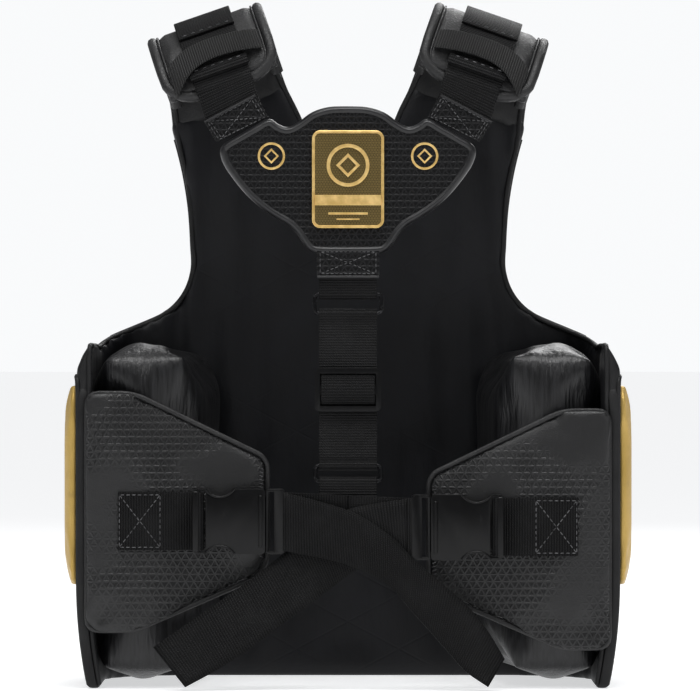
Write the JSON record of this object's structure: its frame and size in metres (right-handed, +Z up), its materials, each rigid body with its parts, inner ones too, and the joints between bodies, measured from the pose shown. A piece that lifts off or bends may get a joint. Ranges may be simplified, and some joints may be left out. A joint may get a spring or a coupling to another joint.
{
  "type": "coach belly protector vest",
  "caption": "Padded coach vest with open back, kidney pads, arched shoulder pads, a hinged back yoke and strap, and two side flaps joined by a waist belt with side-release buckles.",
  "frame": {"origin": "middle of the vest at the level of its hem, where it stands", "axes": "+Z up, +Y towards the struck front, -Y the open back with the harness, +X towards the wearer's right"},
  "size_m": [0.488, 0.2752, 0.5979],
  "materials": {
    "cover_leather": "satin",
    "embossed_leather": "satin",
    "gold_leather": "satin",
    "lining_cloth": "matte",
    "satin_cloth": "satin",
    "foam": "matte",
    "edge_tape": "matte",
    "webbing": "matte",
    "elastic": "matte",
    "buckle_plastic": "matte",
    "badge_metallic": "satin",
    "emblem_gold": "satin"
  },
  "bodies": {
    "vest": {"foam_core": "foam", "outer_cover": "cover_leather", "inner_lining": "lining_cloth", "hem_binding": "edge_tape", "neck_binding": "edge_tape", "belly_target_pad": "cover_leather", "chest_target_pad": "gold_leather", "armhole_binding_left": "edge_tape", "wing_binding_left": "edge_tape", "side_pad_left": "gold_leather", "kidney_pad_left": "satin_cloth", "shoulder_pad_left": "embossed_leather", "shoulder_web_left": "webbing", "strap_keeper_left": "elastic", "shoulder_front_left": "cover_leather", "armhole_binding_right": "edge_tape", "wing_binding_right": "edge_tape", "side_pad_right": "gold_leather", "kidney_pad_right": "satin_cloth", "shoulder_pad_right": "embossed_leather", "shoulder_web_right": "webbing", "strap_keeper_right": "elastic", "shoulder_front_right": "cover_leather"},
    "yoke": {"yoke_backing": "cover_leather", "yoke_padding": "foam", "yoke_cover": "embossed_leather", "badge": "badge_metallic", "emblem_left": "emblem_gold", "emblem_right": "emblem_gold", "yoke_tab_left": "embossed_leather", "yoke_tab_right": "embossed_leather", "yoke_web_left": "webbing", "yoke_web_right": "webbing", "yoke_loop": "webbing"},
    "upper_ring": {"upper_ring": "buckle_plastic"},
    "back_strap": {"centre_strap": "webbing"},
    "slider": {"strap_slider": "buckle_plastic", "slider_fold": "webbing"},
    "lower_ring": {"lower_ring": "buckle_plastic"},
    "belt_loop": {"waist_loop": "webbing"},
    "flap_left": {"flap_padding_left": "foam", "flap_cover_left": "embossed_leather", "flap_piping_left": "edge_tape", "anchor_web_left": "webbing", "buckle_socket_left": "buckle_plastic"},
    "plug_left": {"buckle_plug_left": "buckle_plastic", "waist_strap_left": "webbing"},
    "tail_left": {"belt_tail_left": "webbing"},
    "prong_top_left": {"prong_top_left": "buckle_plastic"},
    "prong_low_left": {"prong_low_left": "buckle_plastic"},
    "flap_right": {"flap_padding_right": "foam", "flap_cover_right": "embossed_leather", "flap_piping_right": "edge_tape", "anchor_web_right": "webbing", "buckle_socket_right": "buckle_plastic"},
    "plug_right": {"buckle_plug_right": "buckle_plastic", "waist_strap_right": "webbing"},
    "tail_right": {"belt_tail_right": "webbing"},
    "prong_top_right": {"prong_top_right": "buckle_plastic"},
    "prong_low_right": {"prong_low_right": "buckle_plastic"}
  },
  "joints": [
    {"name": "yoke_swing", "type": "hinge", "parent": "vest", "child": "yoke", "pos_m": [0, -0.1046, 0.5165], "axis": [-1, 0, 0], "range_deg": [-8, 100], "deforming": ["yoke_web_left", "yoke_web_right"]},
    {"name": "upper_ring_swivel", "type": "hinge", "parent": "yoke", "child": "upper_ring", "pos_m": [0, -0.1074, 0.34], "axis": [-1, 0, 0], "range_deg": [-8, 50]},
    {"name": "back_strap_swing", "type": "hinge", "parent": "upper_ring", "child": "back_strap", "pos_m": [0, -0.10863, 0.32365], "axis": [-1, 0, 0], "range_deg": [-8, 50]},
    {"name": "slider_slide", "type": "slide", "parent": "back_strap", "child": "slider", "axis": [0, 0.075, 0.9972], "range_m": [-0.03, 0.03]},
    {"name": "lower_ring_swivel", "type": "hinge", "parent": "back_strap", "child": "lower_ring", "pos_m": [0, -0.1185, 0.19252], "axis": [-1, 0, 0], "range_deg": [-8, 50]},
    {"name": "belt_loop_swivel", "type": "hinge", "parent": "lower_ring", "child": "belt_loop", "pos_m": [0, -0.11947, 0.17955], "axis": [-1, 0, 0], "range_deg": [-8, 50]},
    {"name": "flap_left_swing", "type": "hinge", "parent": "vest", "child": "flap_left", "pos_m": [-0.226, -0.107, 0.15], "axis": [0, 0, -1], "range_deg": [0, 90]},
    {"name": "plug_left_release", "type": "slide", "parent": "flap_left", "child": "plug_left", "axis": [1, 0, 0], "range_m": [0, 0.028], "deforming": ["waist_strap_left"]},
    {"name": "prong_top_left_press", "type": "slide", "parent": "plug_left", "child": "prong_top_left", "axis": [0, 0, -1], "range_m": [0, 0.004], "stiffness_N_per_m": 300},
    {"name": "prong_low_left_press", "type": "slide", "parent": "plug_left", "child": "prong_low_left", "axis": [0, 0, 1], "range_m": [0, 0.004], "stiffness_N_per_m": 300},
    {"name": "tail_left_swing", "type": "hinge", "parent": "plug_left", "child": "tail_left", "pos_m": [-0.0544, -0.131, 0.145], "axis": [0, 0, -1], "range_deg": [0, 60], "deforming": ["belt_tail_left"]},
    {"name": "flap_right_swing", "type": "hinge", "parent": "vest", "child": "flap_right", "pos_m": [0.226, -0.107, 0.15], "axis": [0, 0, 1], "range_deg": [0, 90]},
    {"name": "plug_right_release", "type": "slide", "parent": "flap_right", "child": "plug_right", "axis": [-1, 0, 0], "range_m": [0, 0.028], "deforming": ["waist_strap_right"]},
    {"name": "prong_top_right_press", "type": "slide", "parent": "plug_right", "child": "prong_top_right", "axis": [0, 0, -1], "range_m": [0, 0.004], "stiffness_N_per_m": 300},
    {"name": "prong_low_right_press", "type": "slide", "parent": "plug_right", "child": "prong_low_right", "axis": [0, 0, 1], "range_m": [0, 0.004], "stiffness_N_per_m": 300},
    {"name": "tail_right_swing", "type": "hinge", "parent": "plug_right", "child": "tail_right", "pos_m": [0.0544, -0.131, 0.14], "axis": [0, 0, 1], "range_deg": [0, 60], "deforming": ["belt_tail_right"]}
  ]
}
